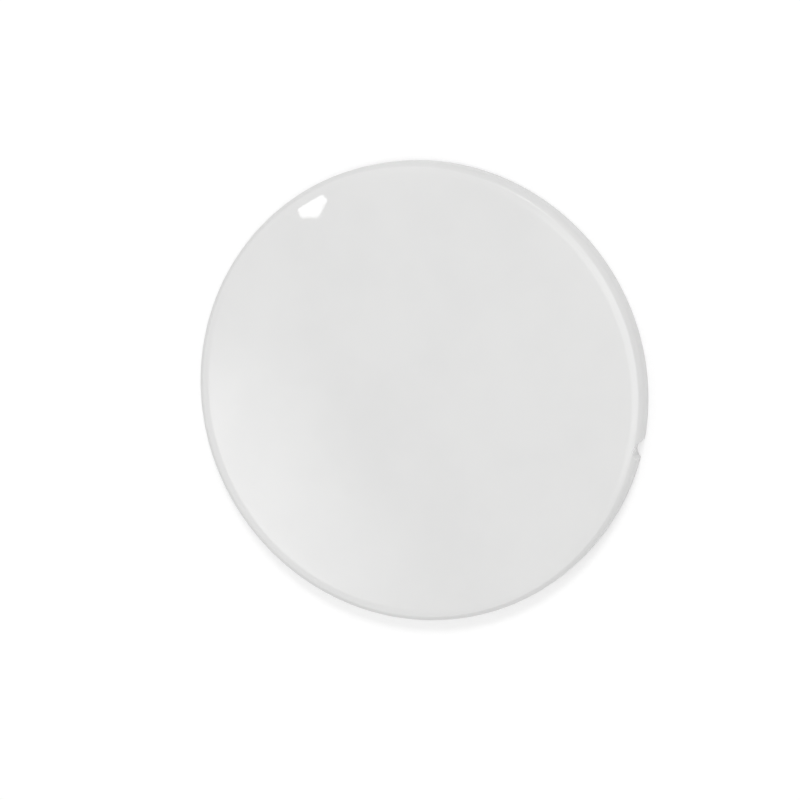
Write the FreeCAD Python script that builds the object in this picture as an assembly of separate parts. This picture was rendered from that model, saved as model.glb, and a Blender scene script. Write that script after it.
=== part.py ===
import FreeCAD, Part
import math
import os

# Flood lens for an LED spot lamp: one moulding in opal plastic.
# Seen from the front it is a barely domed face that bends down in a narrow shoulder
# to a crisp ridge.  Outside the ridge the rim rounds over into a plain wall, and one
# half-round notch right through the rim keys the lens in its lamp.  The back is
# hollowed and rests on a flat ring-shaped seat.
# Millimetres.  The lens lies face up on its seat, with its axis on Z.

# Driving dimensions of the rim
rim_diameter = 50.0
ridge_height = 2.7
ridge_inset = 0.55
edge_round = 0.95
seat_edge_chamfer = 0.15

# Driving dimensions of the face
shoulder_width = 0.85
shoulder_tilt_deg = 16.0
crown_rise = 0.3

# Driving dimensions of the hollow back
face_wall = 1.9
seat_width = 2.2
recess_draft_deg = 3.0
recess_chamfer = 0.35
seat_lip_chamfer = 0.15

# Driving dimensions of the keying notch
notch_radius = 1.15
notch_depth = 0.6
notch_corner_round = 0.15
notch_azimuth_deg = -45.0

# The notch cutter reaches this far past the lens on every side
cutter_overrun = 1.0

# Radii that follow from the driving dimensions
rim_radius = rim_diameter / 2
ridge_radius = rim_radius - ridge_inset
face_radius = ridge_radius - shoulder_width
seat_inner_radius = rim_radius - seat_width

# The dome crosses the axis at its crown and ends at the face radius
dome_radius = (face_radius**2 + crown_rise**2) / (2 * crown_rise)
dome_angle = math.asin(face_radius / dome_radius)

# The shoulder leaves the dome without a kink and leans by its tilt at the ridge
shoulder_tilt = math.radians(shoulder_tilt_deg)
shoulder_radius = shoulder_width / (math.sin(shoulder_tilt) - math.sin(dome_angle))
shoulder_drop = shoulder_radius * (math.cos(dome_angle) - math.cos(shoulder_tilt))
face_height = ridge_height + shoulder_drop
apex_height = face_height + crown_rise
dome_centre_z = apex_height - dome_radius
shoulder_centre_r = face_radius - shoulder_radius * math.sin(dome_angle)
shoulder_centre_z = face_height - shoulder_radius * math.cos(dome_angle)

# The rim's edge round touches the wall and ends on the ridge
edge_start = math.asin(1 - ridge_inset / edge_round)
edge_centre_r = rim_radius - edge_round
edge_centre_z = ridge_height - edge_round * math.cos(edge_start)

# The hollow has a flat ceiling and a drafted side
ceiling_height = face_height - face_wall
draft = math.tan(math.radians(recess_draft_deg))


def at(radius, height):
    """A point of the section, which lies in the XZ plane."""
    return FreeCAD.Vector(radius, 0, height)


def line(start, end):
    return Part.LineSegment(start, end).toShape()


def arc(start, middle, end):
    return Part.Arc(start, middle, end).toShape()


def on_circle(centre_r, centre_z, radius, angle_from_axis):
    """The point of a circle in the section, at an angle counted from +Z outwards."""
    return at(
        centre_r + radius * math.sin(angle_from_axis),
        centre_z + radius * math.cos(angle_from_axis),
    )


def revolved_body():
    """The lens without its notch: one closed section turned about Z."""
    apex = at(0, apex_height)
    dome_middle = on_circle(0, dome_centre_z, dome_radius, dome_angle / 2)
    face_edge = at(face_radius, face_height)
    shoulder_middle = on_circle(
        shoulder_centre_r,
        shoulder_centre_z,
        shoulder_radius,
        (dome_angle + shoulder_tilt) / 2,
    )
    ridge = at(ridge_radius, ridge_height)
    edge_middle = on_circle(
        edge_centre_r, edge_centre_z, edge_round, (edge_start + math.pi / 2) / 2
    )
    wall_top = at(rim_radius, edge_centre_z)
    wall_foot = at(rim_radius, seat_edge_chamfer)
    seat_outer = at(rim_radius - seat_edge_chamfer, 0)
    seat_inner = at(seat_inner_radius + seat_lip_chamfer, 0)
    side_foot = at(seat_inner_radius - seat_lip_chamfer * draft, seat_lip_chamfer)
    side_top_z = ceiling_height - recess_chamfer
    side_top = at(seat_inner_radius - side_top_z * draft, side_top_z)
    ceiling_edge = at(side_top.x - recess_chamfer, ceiling_height)
    ceiling_middle = at(0, ceiling_height)

    section = Part.Wire(
        [
            arc(apex, dome_middle, face_edge),
            arc(face_edge, shoulder_middle, ridge),
            arc(ridge, edge_middle, wall_top),
            line(wall_top, wall_foot),
            line(wall_foot, seat_outer),
            line(seat_outer, seat_inner),
            line(seat_inner, side_foot),
            line(side_foot, side_top),
            line(side_top, ceiling_edge),
            line(ceiling_edge, ceiling_middle),
            line(ceiling_middle, apex),
        ]
    )
    return Part.Face(section).revolve(at(0, 0), FreeCAD.Vector(0, 0, 1), 360)


def notch_cutter():
    """A prism whose side is the notch's arc, blended into the rim by corner arcs."""
    centre_x = rim_radius + notch_radius - notch_depth
    # Each corner arc touches the rim from inside and the notch's arc from outside
    corner_orbit = rim_radius - notch_corner_round
    reach = notch_radius + notch_corner_round
    corner_x = (corner_orbit**2 + centre_x**2 - reach**2) / (2 * centre_x)
    corner_y = math.sqrt(corner_orbit**2 - corner_x**2)
    notch_centre = FreeCAD.Vector(centre_x, 0, 0)

    def corner(side):
        centre = FreeCAD.Vector(corner_x, side * corner_y, 0)
        on_rim = centre * (rim_radius / corner_orbit)
        on_notch = notch_centre + (centre - notch_centre) * (notch_radius / reach)
        towards_middle = (on_rim - centre) + (on_notch - centre)
        middle = centre + towards_middle.normalize() * notch_corner_round
        return on_rim, middle, on_notch

    rim_a, middle_a, notch_a = corner(1)
    rim_b, middle_b, notch_b = corner(-1)
    deepest = FreeCAD.Vector(rim_radius - notch_depth, 0, 0)
    outside_x = rim_radius + cutter_overrun
    outside_a = FreeCAD.Vector(outside_x, rim_a.y, 0)
    outside_b = FreeCAD.Vector(outside_x, rim_b.y, 0)
    outline = Part.Wire(
        [
            arc(rim_a, middle_a, notch_a),
            arc(notch_a, deepest, notch_b),
            arc(notch_b, middle_b, rim_b),
            line(rim_b, outside_b),
            line(outside_b, outside_a),
            line(outside_a, rim_a),
        ]
    )
    height = apex_height + 2 * cutter_overrun
    prism = Part.Face(outline).extrude(FreeCAD.Vector(0, 0, height))
    prism.translate(FreeCAD.Vector(0, 0, -cutter_overrun))
    prism.rotate(FreeCAD.Vector(0, 0, 0), FreeCAD.Vector(0, 0, 1), notch_azimuth_deg)
    return prism


os.makedirs("parts", exist_ok=True)
lens = revolved_body().cut(notch_cutter()).Solids[0]
lens.exportStep("parts/lens.step")
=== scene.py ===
# %% [markdown]
# A flood lens for a small LED spot lamp, lying face up on a white table.
# The real thing is one moulding in opal plastic.  Its barely domed face bends down
# in a narrow shoulder to a crisp ridge, outside the ridge the rim rounds over into
# a plain wall, and one half-round notch right through the rim keys it in its lamp.
# Almost nothing breaks up a form like this, so the whole look rests on three
# things: exact tangent curves, a clean gloss, and where the light comes from.
# The frame is loaded first, because the sizes below are read from it.

import math

import bmesh
import bpy
from mathutils import Matrix, Vector


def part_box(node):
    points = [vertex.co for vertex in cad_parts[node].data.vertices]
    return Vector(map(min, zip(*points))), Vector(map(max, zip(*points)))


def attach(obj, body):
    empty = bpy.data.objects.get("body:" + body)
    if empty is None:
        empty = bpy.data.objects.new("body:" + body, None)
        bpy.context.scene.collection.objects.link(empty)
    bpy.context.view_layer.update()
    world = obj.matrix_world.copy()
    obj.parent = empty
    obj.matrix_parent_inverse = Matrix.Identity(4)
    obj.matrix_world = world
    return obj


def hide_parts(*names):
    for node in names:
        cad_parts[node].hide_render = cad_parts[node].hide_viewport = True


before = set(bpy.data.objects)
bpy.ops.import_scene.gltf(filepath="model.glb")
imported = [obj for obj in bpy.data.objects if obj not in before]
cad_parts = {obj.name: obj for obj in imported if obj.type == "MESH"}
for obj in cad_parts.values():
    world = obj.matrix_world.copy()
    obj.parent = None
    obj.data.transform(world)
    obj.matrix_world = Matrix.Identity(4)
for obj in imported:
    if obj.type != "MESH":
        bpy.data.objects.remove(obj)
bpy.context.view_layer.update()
lens_low, lens_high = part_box("lens")

# %% [markdown]
# Every object, lamp and camera below is made from its data in the same way.

# %% Put things into the scene
def put_in_scene(name, data):
    """Makes an object from its data and puts it into the scene."""
    thing = bpy.data.objects.new(name, data)
    bpy.context.scene.collection.objects.link(thing)
    return thing


# %% [markdown]
# The rim's radius and the height of the crown come from the frame.  The other
# sizes are those of the moulding's section, in metres.  The face is part of a very
# large sphere.  It crosses the axis at the crown and ends at the face's edge, so
# its radius follows from those two and isn't guessed.

# %% Sizes of the face
MM = 0.001
rim_radius = (lens_high.x - lens_low.x) / 2
apex_height = lens_high.z
ridge_inset = 0.55 * MM
shoulder_width = 0.85 * MM
crown_rise = 0.3 * MM

ridge_radius = rim_radius - ridge_inset
face_radius = ridge_radius - shoulder_width
face_height = apex_height - crown_rise
dome_radius = (face_radius**2 + crown_rise**2) / (2 * crown_rise)
dome_angle = math.asin(face_radius / dome_radius)
dome_centre_z = apex_height - dome_radius
print("dome radius in mm:", round(dome_radius / MM, 1))
print("dome reaches", round(math.degrees(dome_angle), 2), "degrees from the axis")

# %% [markdown]
# The shoulder leaves the dome without a kink, so its arc starts at the dome's own
# angle.  It leans by 16 degrees where it meets the ridge.  The rim's rounded edge
# starts on the ridge at a steeper angle, and that small jump is what makes the
# ridge a crisp line.  It ends on the wall without a kink.

# %% Sizes of the shoulder and the rim's edge
QUARTER = math.pi / 2
SHOULDER_TILT_DEG = 16
shoulder_tilt = math.radians(SHOULDER_TILT_DEG)
shoulder_arc = shoulder_width / (math.sin(shoulder_tilt) - math.sin(dome_angle))
shoulder_centre_r = face_radius - shoulder_arc * math.sin(dome_angle)
shoulder_centre_z = face_height - shoulder_arc * math.cos(dome_angle)
ridge_height = shoulder_centre_z + shoulder_arc * math.cos(shoulder_tilt)

edge_round = 0.95 * MM
edge_start = math.asin(1 - ridge_inset / edge_round)
edge_centre_r = rim_radius - edge_round
edge_centre_z = ridge_height - edge_round * math.cos(edge_start)
print("the ridge stands", round(ridge_height / MM, 3), "mm above the seat")
print("it turns by", round(math.degrees(edge_start - shoulder_tilt), 1), "degrees")

# %% [markdown]
# The back is hollow.  Its ceiling is flat, and its side leans by the draft that
# lets a moulding leave its tool.  The round between them touches both, so its
# centre is set in from each by the same distance.  The seat's inner edge has a
# small round too, which touches the seat and the leaning side.

# %% Sizes of the hollow back
face_wall = 1.9 * MM
seat_width = 2.2 * MM
seat_edge_round = 0.15 * MM
seat_lip_round = 0.15 * MM
recess_round = 0.55 * MM
RECESS_DRAFT_DEG = 3
recess_draft = math.radians(RECESS_DRAFT_DEG)

ceiling_height = face_height - face_wall
seat_inner_radius = rim_radius - seat_width
lean = math.tan(recess_draft)
recess_z = ceiling_height - recess_round
recess_r = seat_inner_radius - recess_round / math.cos(recess_draft) - recess_z * lean
side_top_r = recess_r + recess_round * math.cos(recess_draft)
side_top_z = recess_z + recess_round * math.sin(recess_draft)
lip_r = (
    seat_inner_radius
    + seat_lip_round * math.cos(recess_draft)
    - seat_lip_round * (1 - math.sin(recess_draft)) * lean
)
print("the hollow is", round(ceiling_height / MM, 2), "mm deep")

# %% [markdown]
# A lathe would be the natural tool for this form, and a spin is Blender's lathe.
# The section is drawn the same way: a single vertex is swung through a small
# angle about the centre of each arc, which leaves exact arcs that meet without a
# kink.  Only straight stretches are extrusions.

# %% Drawing tools
ACROSS_SECTION = (0, 1, 0)
LENS_AXIS = (0, 0, 1)


def swing(bm, vert, centre, axis, angle, steps):
    """Swings a vertex about an axis through a centre and returns the arc's last one."""
    swung = bmesh.ops.spin(
        bm, geom=[vert], cent=centre, axis=axis,
        angle=angle, steps=steps, use_merge=False, use_duplicate=False,
    )
    return next(e for e in swung["geom_last"] if isinstance(e, bmesh.types.BMVert))


def run_to(bm, vert, place):
    """Draws a straight stretch from a vertex to a place."""
    drawn = bmesh.ops.extrude_vert_indiv(bm, verts=[vert])
    drawn["verts"][0].co = place
    return drawn["verts"][0]


print("a section's arcs turn about", ACROSS_SECTION)

# %% [markdown]
# Going clockwise from the crown, the pen passes the face, the shoulder, the ridge,
# the rim's rounded edge and its wall, the seat, and then climbs the hollow's side
# to the ceiling.  The shoulder and the rounded edge are short and catch the light,
# so for their length they get the most steps.

# %% Draw the section
FACE_STEPS = 24
SHOULDER_STEPS = 14
EDGE_STEPS = 16
SEAT_STEPS = 5
RECESS_STEPS = 8
section = bmesh.new()


def section_arc(start, centre_r, centre_z, angle, steps):
    """Swings the section's pen about a centre given by its radius and height."""
    return swing(section, start, (centre_r, 0, centre_z), ACROSS_SECTION, angle, steps)


shoulder_turn = shoulder_tilt - dome_angle
seat_centre_r = rim_radius - seat_edge_round
pen = section.verts.new((0, 0, apex_height))
pen = section_arc(pen, 0, dome_centre_z, dome_angle, FACE_STEPS)
pen = section_arc(pen, shoulder_centre_r, shoulder_centre_z, shoulder_turn, SHOULDER_STEPS)
pen = section_arc(pen, edge_centre_r, edge_centre_z, QUARTER - edge_start, EDGE_STEPS)
pen = run_to(section, pen, (rim_radius, 0, seat_edge_round))
pen = section_arc(pen, seat_centre_r, seat_edge_round, QUARTER, SEAT_STEPS)
pen = run_to(section, pen, (lip_r, 0, 0))
pen = section_arc(pen, lip_r, seat_lip_round, QUARTER - recess_draft, SEAT_STEPS)
pen = run_to(section, pen, (side_top_r, 0, side_top_z))
pen = section_arc(pen, recess_r, recess_z, recess_draft - QUARTER, RECESS_STEPS)
pen = run_to(section, pen, (0, 0, ceiling_height))
print("section has", len(section.verts), "vertices")

# %% [markdown]
# One full spin about Z makes the moulding.  The two ends of the section lie on
# the axis, where every step leaves a copy, so doubles are merged there.  480
# steps keep the outline smooth even in a close view.

# %% Spin the section into a moulding
SPIN_STEPS = 480
MERGE_DISTANCE = 0.0001 * MM


def finished_mesh(bm, name):
    """Merges doubles, turns the faces outwards and moves a bmesh into a mesh."""
    bmesh.ops.remove_doubles(bm, verts=bm.verts, dist=MERGE_DISTANCE)
    bmesh.ops.recalc_face_normals(bm, faces=bm.faces)
    mesh = bpy.data.meshes.new(name)
    bm.to_mesh(mesh)
    bm.free()
    return mesh


bmesh.ops.spin(
    section, geom=section.verts[:] + section.edges[:], cent=(0, 0, 0), axis=LENS_AXIS,
    angle=2 * math.pi, steps=SPIN_STEPS, use_merge=True, use_duplicate=False,
)
moulding = put_in_scene("opal_lens", finished_mesh(section, "opal_lens"))
print("moulding has", len(moulding.data.polygons), "faces")

# %% [markdown]
# The notch is cut with a prism, as a milling cutter or a slide in the tool would
# leave it: its arc bites into the rim, and a small arc on each side blends it into
# the rim's wall.  Each small arc touches the rim from inside and the notch from
# outside, which fixes the place of its centre.

# %% Sizes of the keying notch
notch_radius = 1.15 * MM
notch_depth = 0.6 * MM
notch_corner_round = 0.15 * MM
NOTCH_AZIMUTH_DEG = -45
notch_azimuth = math.radians(NOTCH_AZIMUTH_DEG)
cutter_overrun = 1.0 * MM

notch_centre = rim_radius + notch_radius - notch_depth
corner_orbit = rim_radius - notch_corner_round
reach = notch_radius + notch_corner_round
corner_x = (corner_orbit**2 + notch_centre**2 - reach**2) / (2 * notch_centre)
corner_y = math.sqrt(corner_orbit**2 - corner_x**2)
rim_bearing = math.atan2(corner_y, corner_x)
notch_bearing = math.atan2(corner_y, notch_centre - corner_x)
corner_turn = rim_bearing + notch_bearing
print("notch is", round(2 * rim_radius * math.sin(rim_bearing) / MM, 2), "mm wide at the rim")

# %% [markdown]
# The cutter's outline is drawn flat with the same swing, about upright axes now.

# %% Draw the cutter's outline
CORNER_STEPS = 8
NOTCH_STEPS = 32
outline = bmesh.new()
foot = -cutter_overrun
start_x = rim_radius * math.cos(rim_bearing)
start_y = rim_radius * math.sin(rim_bearing)
outside_x = rim_radius + cutter_overrun
first = outline.verts.new((start_x, start_y, foot))
near_corner = (corner_x, corner_y, foot)
far_corner = (corner_x, -corner_y, foot)
pen = swing(outline, first, near_corner, LENS_AXIS, -corner_turn, CORNER_STEPS)
pen = swing(outline, pen, (notch_centre, 0, foot), LENS_AXIS, 2 * notch_bearing, NOTCH_STEPS)
pen = swing(outline, pen, far_corner, LENS_AXIS, -corner_turn, CORNER_STEPS)
pen = run_to(outline, pen, (outside_x, -start_y, foot))
pen = run_to(outline, pen, (outside_x, start_y, foot))
outline.edges.new((pen, first))
print("cutter outline has", len(outline.verts), "vertices")

# %% [markdown]
# Filled and raised past the lens at both ends, the outline becomes a prism.  It is
# then turned to where the notch sits.

# %% Raise the cutter
bmesh.ops.contextual_create(outline, geom=outline.verts[:] + outline.edges[:])
risen = bmesh.ops.extrude_face_region(outline, geom=outline.faces[:])
risen_verts = [e for e in risen["geom"] if isinstance(e, bmesh.types.BMVert)]
cutter_height = apex_height + 2 * cutter_overrun
bmesh.ops.translate(outline, verts=risen_verts, vec=(0, 0, cutter_height))
bmesh.ops.rotate(
    outline, verts=outline.verts[:], cent=(0, 0, 0),
    matrix=Matrix.Rotation(notch_azimuth, 3, "Z"),
)
cutter = put_in_scene("notch_cutter", finished_mesh(outline, "notch_cutter"))
print("cutter stands", round(cutter_height / MM, 2), "mm high")

# %% [markdown]
# The exact solver leaves clean edges where the prism's arcs pass through the
# rim's rounded edge.  It can split the notch's wall into faces a little
# differently from one run to the next, but the corners stay where they are.

# %% Cut the notch
cut = moulding.modifiers.new("notch", "BOOLEAN")
cut.operation = "DIFFERENCE"
cut.solver = "EXACT"
cut.object = cutter
depsgraph = bpy.context.evaluated_depsgraph_get()
notched = bpy.data.meshes.new_from_object(moulding.evaluated_get(depsgraph))
moulding.modifiers.clear()
moulding.data = notched
bpy.data.objects.remove(cutter)
print("moulding has", len(moulding.data.polygons), "faces after the cut")

# %% [markdown]
# The arcs read as round only if the shading runs smoothly over them.  Real corners,
# such as the mouth of the notch, turn by more than 30 degrees and are found by
# their angle.  The ridge turns by only about nine degrees, so its ring of edges
# is picked out by place and marked sharp.

# %% Smooth the arcs and keep the real corners
SHARP_ANGLE = math.radians(30)
RING_WIDTH = 0.002 * MM


def on_ridge(point):
    """Says whether a point lies on the ring where the shoulder ends."""
    off_ring = abs(math.hypot(point.x, point.y) - ridge_radius)
    return off_ring < RING_WIDTH and abs(point.z - ridge_height) < RING_WIDTH


mesh = moulding.data
mesh.shade_smooth()
mesh.set_sharp_from_angle(angle=SHARP_ANGLE)
ridge_edges = 0
for edge in mesh.edges:
    if all(on_ridge(mesh.vertices[i].co) for i in edge.vertices):
        edge.use_edge_sharp = True
        ridge_edges += 1
print("marked", ridge_edges, "edges of the ridge sharp")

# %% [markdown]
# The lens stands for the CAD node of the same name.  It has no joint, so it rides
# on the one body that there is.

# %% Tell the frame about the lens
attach(moulding, "root")
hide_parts("lens")
print(moulding.name, "rides on root and stands for the lens")

# %% [markdown]
# Opal plastic is a clear resin with a white filler that scatters light.  Its base
# colour is a pale neutral white, and a little subsurface light softens every edge.
# The face and the shoulder come out of a polished tool and shine.  The rim's edge,
# its wall and the hollow back come out of a tool that was only stoned, so they are
# satin.  The rim's colour is also made a touch greyer than the face's, as painted
# shade on its edge and wall.  Both kinds of surface are
# one material here, told apart by place: the distance from the axis finds the rim,
# and the height finds the back.

# %% Start the opal plastic
OPAL_IOR = 1.49
SCATTER_SHARE = 0.3
SCATTER_DEPTH = 0.35 * MM
opal = bpy.data.materials.new("opal_plastic")
opal.use_nodes = True
opal_tree = opal.node_tree
opal_nodes = opal_tree.nodes
opal_links = opal_tree.links
opal_shader = opal_nodes["Principled BSDF"]
opal_shader.inputs["IOR"].default_value = OPAL_IOR
opal_shader.inputs["Subsurface Weight"].default_value = SCATTER_SHARE
opal_shader.inputs["Subsurface Radius"].default_value = (1.0, 1.0, 1.0)
opal_shader.inputs["Subsurface Scale"].default_value = SCATTER_DEPTH
print("light scatters about", round(SCATTER_DEPTH / MM, 2), "mm into the plastic")

# %% [markdown]
# Two small tools build most of the nodes from here on, in the plastic and also in
# the table, the room and the lamps.

# %% Tools for nodes
def ramp(tree, value, low, high, out_low, out_high, smooth=False):
    """Takes a value's range to another range, clamped at both ends."""
    node = tree.nodes.new("ShaderNodeMapRange")
    node.interpolation_type = "SMOOTHSTEP" if smooth else "LINEAR"
    tree.links.new(value, node.inputs["Value"])
    limits = {"From Min": low, "From Max": high, "To Min": out_low, "To Max": out_high}
    for socket, number in limits.items():
        node.inputs[socket].default_value = number
    return node.outputs["Result"]


def calculate(tree, operation, *values):
    """Puts values, linked ones or plain numbers, through one math node."""
    node = tree.nodes.new("ShaderNodeMath")
    node.operation = operation
    for socket, value in zip(node.inputs, values):
        if isinstance(value, float):
            socket.default_value = value
        else:
            tree.links.new(value, socket)
    return node.outputs["Value"]


print("opal plastic starts with", len(opal_nodes), "nodes")

# %% [markdown]
# The distance from the axis is the length of the place with its height left out.

# %% Find the rim and the back by place
place = opal_nodes.new("ShaderNodeTexCoord").outputs["Object"]
flat_place = opal_nodes.new("ShaderNodeVectorMath")
flat_place.operation = "MULTIPLY"
HEIGHT_LEFT_OUT = (1, 1, 0)
flat_place.inputs[1].default_value = HEIGHT_LEFT_OUT
opal_links.new(place, flat_place.inputs[0])
from_axis = opal_nodes.new("ShaderNodeVectorMath")
from_axis.operation = "LENGTH"
opal_links.new(flat_place.outputs["Vector"], from_axis.inputs[0])
coordinates = opal_nodes.new("ShaderNodeSeparateXYZ")
opal_links.new(place, coordinates.inputs[0])

blend_width = 0.04 * MM
rim_start = ridge_radius + blend_width
on_rim = ramp(opal_tree, from_axis.outputs["Value"], ridge_radius, rim_start, 0, 1)
back_level = (ceiling_height + ridge_height) / 2
back_end = back_level - blend_width
on_back = ramp(opal_tree, coordinates.outputs["Z"], back_end, back_level, 1, 0)
satin = calculate(opal_tree, "MAXIMUM", on_rim, on_back)
print("satin below", round(back_level / MM, 2), "mm")
print("satin outside", round(ridge_radius / MM, 2), "mm from the axis")

# %% [markdown]
# A moulding is never quite even.  The filler leaves faint clouds a few millimetres
# wide, the polish has a slow variation of its own, and the satin parts have a fine
# grain.  Each of them is a noise on Object coordinates.  A noise's scale counts
# features per metre, so one over the feature's size gives it.

# %% Clouds, polish and grain
CLOUD_SIZE = 7 * MM
POLISH_SIZE = 2.5 * MM
GRAIN_SIZE = 0.12 * MM
CLOUD_DETAIL = 3
FINE_DETAIL = 2


def noise(feature_size, detail):
    """Gives a noise whose features have about the given size in metres."""
    node = opal_nodes.new("ShaderNodeTexNoise")
    node.inputs["Scale"].default_value = 1 / feature_size
    node.inputs["Detail"].default_value = detail
    opal_links.new(place, node.inputs["Vector"])
    return node.outputs["Fac"]


clouds = noise(CLOUD_SIZE, CLOUD_DETAIL)
polish = noise(POLISH_SIZE, FINE_DETAIL)
grain = noise(GRAIN_SIZE, FINE_DETAIL)
print("clouds are about", round(CLOUD_SIZE / MM, 1), "mm wide")

# %% [markdown]
# The clouds shift the white by so little that it is felt more than seen.  Noise
# stays near its middle, so the ramps take in only that part of it.

# %% Colour of the plastic
NOISE_LOW = 0.3
NOISE_HIGH = 0.7
OPAL_DIM = (0.772, 0.772, 0.769, 1)
OPAL_BRIGHT = (0.788, 0.788, 0.784, 1)
# The grey below is painted shade, which darkens the rim's colour outside the ridge.
RIM_PAINTED_SHADE = (0.93, 0.93, 0.93, 1)
COLOUR_A = 6
COLOUR_B = 7
COLOUR_OUT = 2

opal_colour = opal_nodes.new("ShaderNodeMix")
opal_colour.data_type = "RGBA"
cloud_share = ramp(opal_tree, clouds, NOISE_LOW, NOISE_HIGH, 0, 1, smooth=True)
opal_links.new(cloud_share, opal_colour.inputs["Factor"])
opal_colour.inputs[COLOUR_A].default_value = OPAL_DIM
opal_colour.inputs[COLOUR_B].default_value = OPAL_BRIGHT

# The rim's colour is multiplied by that grey: painted shade on its edge and wall.
rim_painted_shade = opal_nodes.new("ShaderNodeMix")
rim_painted_shade.data_type = "RGBA"
rim_painted_shade.blend_type = "MULTIPLY"
opal_links.new(on_rim, rim_painted_shade.inputs["Factor"])
opal_links.new(opal_colour.outputs[COLOUR_OUT], rim_painted_shade.inputs[COLOUR_A])
rim_painted_shade.inputs[COLOUR_B].default_value = RIM_PAINTED_SHADE
opal_links.new(rim_painted_shade.outputs[COLOUR_OUT], opal_shader.inputs["Base Color"])
print("the rim has", RIM_PAINTED_SHADE[0], "of the face's white")

# %% [markdown]
# The polished face is almost a mirror.  The satin parts spread their reflections,
# and the grain raises them by a hundredth of a millimetre at most.

# %% Roughness and grain
GLOSS_RANGE = (0.01, 0.02)
SATIN_RANGE = (0.36, 0.46)
GRAIN_STRENGTH = 0.25
GRAIN_RISE = 0.01 * MM
gloss_roughness = ramp(opal_tree, polish, NOISE_LOW, NOISE_HIGH, *GLOSS_RANGE)
satin_roughness = ramp(opal_tree, grain, NOISE_LOW, NOISE_HIGH, *SATIN_RANGE)
opal_roughness = opal_nodes.new("ShaderNodeMix")
opal_links.new(satin, opal_roughness.inputs["Factor"])
opal_links.new(gloss_roughness, opal_roughness.inputs["A"])
opal_links.new(satin_roughness, opal_roughness.inputs["B"])
opal_links.new(opal_roughness.outputs["Result"], opal_shader.inputs["Roughness"])

grain_height = calculate(opal_tree, "MULTIPLY", grain, satin)
grain_bump = opal_nodes.new("ShaderNodeBump")
grain_bump.inputs["Strength"].default_value = GRAIN_STRENGTH
grain_bump.inputs["Distance"].default_value = GRAIN_RISE
opal_links.new(grain_height, grain_bump.inputs["Height"])
opal_links.new(grain_bump.outputs["Normal"], opal_shader.inputs["Normal"])

moulding.data.materials.clear()
moulding.data.materials.append(opal)
print("opal plastic has", len(opal_nodes), "nodes")

# %% [markdown]
# The table is white paper.  To the camera and in reflections it has to read as
# clean white with only the lens's shadow on it, so a little of its own light is
# added for those rays alone.  It never lights the lens, which keeps the opal's
# own colour.

# %% White table
FLOOR_HALF_WIDTH = 2.0
PAPER_WHITE = (0.9, 0.9, 0.9, 1)
PAPER_ROUGHNESS = 0.9
PURE_WHITE = (1, 1, 1, 1)
floor_grid = bmesh.new()
bmesh.ops.create_grid(floor_grid, x_segments=1, y_segments=1, size=FLOOR_HALF_WIDTH)
floor = put_in_scene("floor", finished_mesh(floor_grid, "floor"))

paper = bpy.data.materials.new("white_paper")
paper.use_nodes = True
paper_shader = paper.node_tree.nodes["Principled BSDF"]
paper_shader.inputs["Base Color"].default_value = PAPER_WHITE
paper_shader.inputs["Roughness"].default_value = PAPER_ROUGHNESS
paper_shader.inputs["Specular IOR Level"].default_value = 0.0
paper_shader.inputs["Emission Color"].default_value = PURE_WHITE
floor.data.materials.append(paper)
print("floor is", 2 * FLOOR_HALF_WIDTH, "m wide")

# %% [markdown]
# The light path tells which kind of ray asks, so the lift can answer some alone.

# %% Lift the paper for direct views
PAPER_LIFT = 0.16


def seen_directly(tree):
    """Gives 1 for camera, glossy and transmission rays, and 0 for light that bounces."""
    path = tree.nodes.new("ShaderNodeLightPath")
    shown = path.outputs["Is Camera Ray"]
    for kind in ("Is Glossy Ray", "Is Transmission Ray"):
        shown = calculate(tree, "MAXIMUM", shown, path.outputs[kind])
    return shown


paper_tree = paper.node_tree
lift = calculate(paper_tree, "MULTIPLY", seen_directly(paper_tree), PAPER_LIFT)
paper_tree.links.new(lift, paper_shader.inputs["Emission Strength"])
print("paper is lifted by", PAPER_LIFT)

# %% [markdown]
# The room is white too.  The camera and the reflections see it at strength 1,
# which is white, and as light on the lens it is weaker, because the softboxes
# below do their share.

# %% White room
ROOM_LIGHT = 0.69
ROOM_SEEN = 1.0
room = bpy.data.worlds.new("studio")
bpy.context.scene.world = room
room.use_nodes = True
room_tree = room.node_tree
room_back = room_tree.nodes["Background"]
room_back.inputs["Color"].default_value = PURE_WHITE
strength = ramp(room_tree, seen_directly(room_tree), 0, 1, ROOM_LIGHT, ROOM_SEEN)
room_tree.links.new(strength, room_back.inputs["Strength"])
print("room lights the lens at", ROOM_LIGHT)

# %% [markdown]
# On a plain glossy form the softboxes are drawn by their reflections.  They all
# hang in one plane a metre up and face straight down, so a place in that plane is
# a direction in the reflections.  A real softbox is bright in the middle and fades
# towards its edges.  An area lamp knows how far across itself each point lies, so
# that fade is two ramps on its own parametric coordinates.

# %% A softbox that fades towards its edges
CEILING = 1.0
MIDDLE = 0.5


def fade_across(tree, share, fade):
    """Gives 1 in the middle of a lamp's side and falls to 0 at both of its ends."""
    from_middle = calculate(tree, "SUBTRACT", share, MIDDLE)
    either_way = calculate(tree, "ABSOLUTE", from_middle)
    return ramp(tree, either_way, MIDDLE, MIDDLE - MIDDLE * fade, 0, 1)


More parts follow.
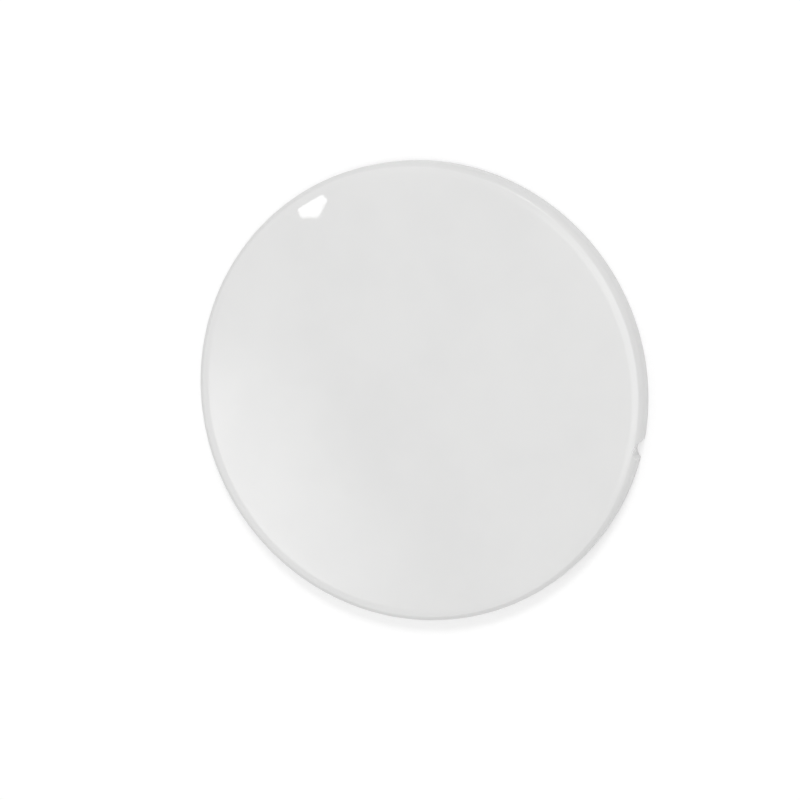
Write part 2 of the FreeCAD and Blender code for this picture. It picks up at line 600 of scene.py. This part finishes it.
def softbox(name, spot, size, turn_deg, brightness, fades):
    """Hangs a soft lamp; brightness is how it shows in a mirror, where 1 is white."""
    lamp = bpy.data.lights.new(name, "AREA")
    lamp.shape = "RECTANGLE"
    lamp.size, lamp.size_y = size
    lamp.energy = brightness * math.pi * size[0] * size[1]
    lamp.use_nodes = True
    tree = lamp.node_tree
    across = tree.nodes.new("ShaderNodeSeparateXYZ")
    surface = tree.nodes.new("ShaderNodeNewGeometry")
    tree.links.new(surface.outputs["Parametric"], across.inputs[0])
    fade_x = fade_across(tree, across.outputs["X"], fades[0])
    fade_y = fade_across(tree, across.outputs["Y"], fades[1])
    both = calculate(tree, "MULTIPLY", fade_x, fade_y)
    tree.links.new(both, tree.nodes["Emission"].inputs["Strength"])
    holder = put_in_scene(name, lamp)
    holder.location = (spot[0], spot[1], CEILING)
    holder.rotation_euler = (0, 0, math.radians(turn_deg))
    holder.visible_camera = False
    print(name, "gives", round(lamp.energy, 2), "W")


print("softboxes hang", CEILING, "m above the table")

# %% [markdown]
# A wide panel hangs overhead, a little towards the camera, and brightens the
# shoulder on the near side.  A small box beyond the far side shows as the bright
# zone at the lower left of the picture, and fades out before the face's middle.  A
# key beyond the top of the picture lays a soft shadow towards its bottom.  Slopes
# of about 20 to 29 degrees would mirror the key.  The ridge jumps over the lesser
# ones, from 16 to 25 degrees, and the others are on the satin rim, so no sharp
# image of the key shows.  The places were worked out from the directions that the
# lens mirrors, and then moved by trial with the photograph beside the render.

# %% Hang the softboxes
softbox(
    "overhead_panel", spot=(0.20, -0.12), size=(0.78, 0.70), turn_deg=0,
    brightness=1.5, fades=(0.42, 0.5),
)
softbox(
    "far_box", spot=(-0.535, 0.035), size=(0.27, 0.35), turn_deg=-5,
    brightness=2.6, fades=(1.0, 0.5),
)
softbox(
    "key", spot=(0.60, 0.58), size=(0.40, 0.40), turn_deg=44,
    brightness=10.5, fades=(0.3, 0.3),
)

# %% [markdown]
# The one bright glint is a small six-sided lamp head.  Its reflection lies across
# the line where the dome ends.  The dome shows part of the hexagon, and the
# shoulder squeezes the rest, so the spot has a straight upper edge.  It is drawn
# with operators like any other piece, so that its corners are crisp.

# %% The glint
GLINT_BRIGHTNESS = 7.0
GLINT_SIDES = 6
glint_radius = 0.0155
glint_spot = (-0.3375, 0.2075, CEILING)
hexagon = bmesh.new()
bmesh.ops.create_circle(hexagon, cap_ends=True, segments=GLINT_SIDES, radius=glint_radius)
bmesh.ops.translate(hexagon, verts=hexagon.verts[:], vec=glint_spot)
glint_head = put_in_scene("glint_head", finished_mesh(hexagon, "glint_head"))
glint_head.visible_camera = False
glow = bpy.data.materials.new("glint_glow")
glow.use_nodes = True
glow_shader = glow.node_tree.nodes["Principled BSDF"]
glow_shader.inputs["Emission Color"].default_value = PURE_WHITE
glow_shader.inputs["Emission Strength"].default_value = GLINT_BRIGHTNESS
glint_head.data.materials.append(glow)
print("glint head is", round(2 * glint_radius / MM), "mm across")

# %% [markdown]
# The camera looks down on the lens at the photograph's angle.  The distance and
# the focal length follow from how strongly the circle's far side shrinks, and the
# turn about the line of sight puts the notch where the photograph has it.

# %% Camera
FOCAL_LENGTH = 107.539
SENSOR_WIDTH = 36.0
NEAR_LIMIT = 0.01
FAR_LIMIT = 10
VIEW_ELEVATION = math.radians(70.3836)
VIEW_AZIMUTH = math.radians(-5.7616)
VIEW_ROLL = math.radians(-116.522)

camera_data = bpy.data.cameras.new("camera")
camera = put_in_scene("camera", camera_data)
bpy.context.scene.camera = camera
camera_data.lens = FOCAL_LENGTH
camera_data.sensor_width = SENSOR_WIDTH
camera_data.clip_start = NEAR_LIMIT
camera_data.clip_end = FAR_LIMIT
view_turn = (
    Matrix.Rotation(VIEW_AZIMUTH + QUARTER, 4, "Z")
    @ Matrix.Rotation(QUARTER - VIEW_ELEVATION, 4, "X")
    @ Matrix.Rotation(VIEW_ROLL, 4, "Z")
)
ridge_centre = Vector((0, 0, ridge_height))
ridge_centre_in_view = Vector((1.54813, 0.55551, -256.725)) * MM
stand = Matrix.Translation(ridge_centre - view_turn.to_3x3() @ ridge_centre_in_view)
camera.matrix_world = stand @ view_turn
bpy.context.scene.view_settings.view_transform = "Standard"
print("camera stands at", [round(c / MM, 1) for c in camera.matrix_world.translation], "mm")
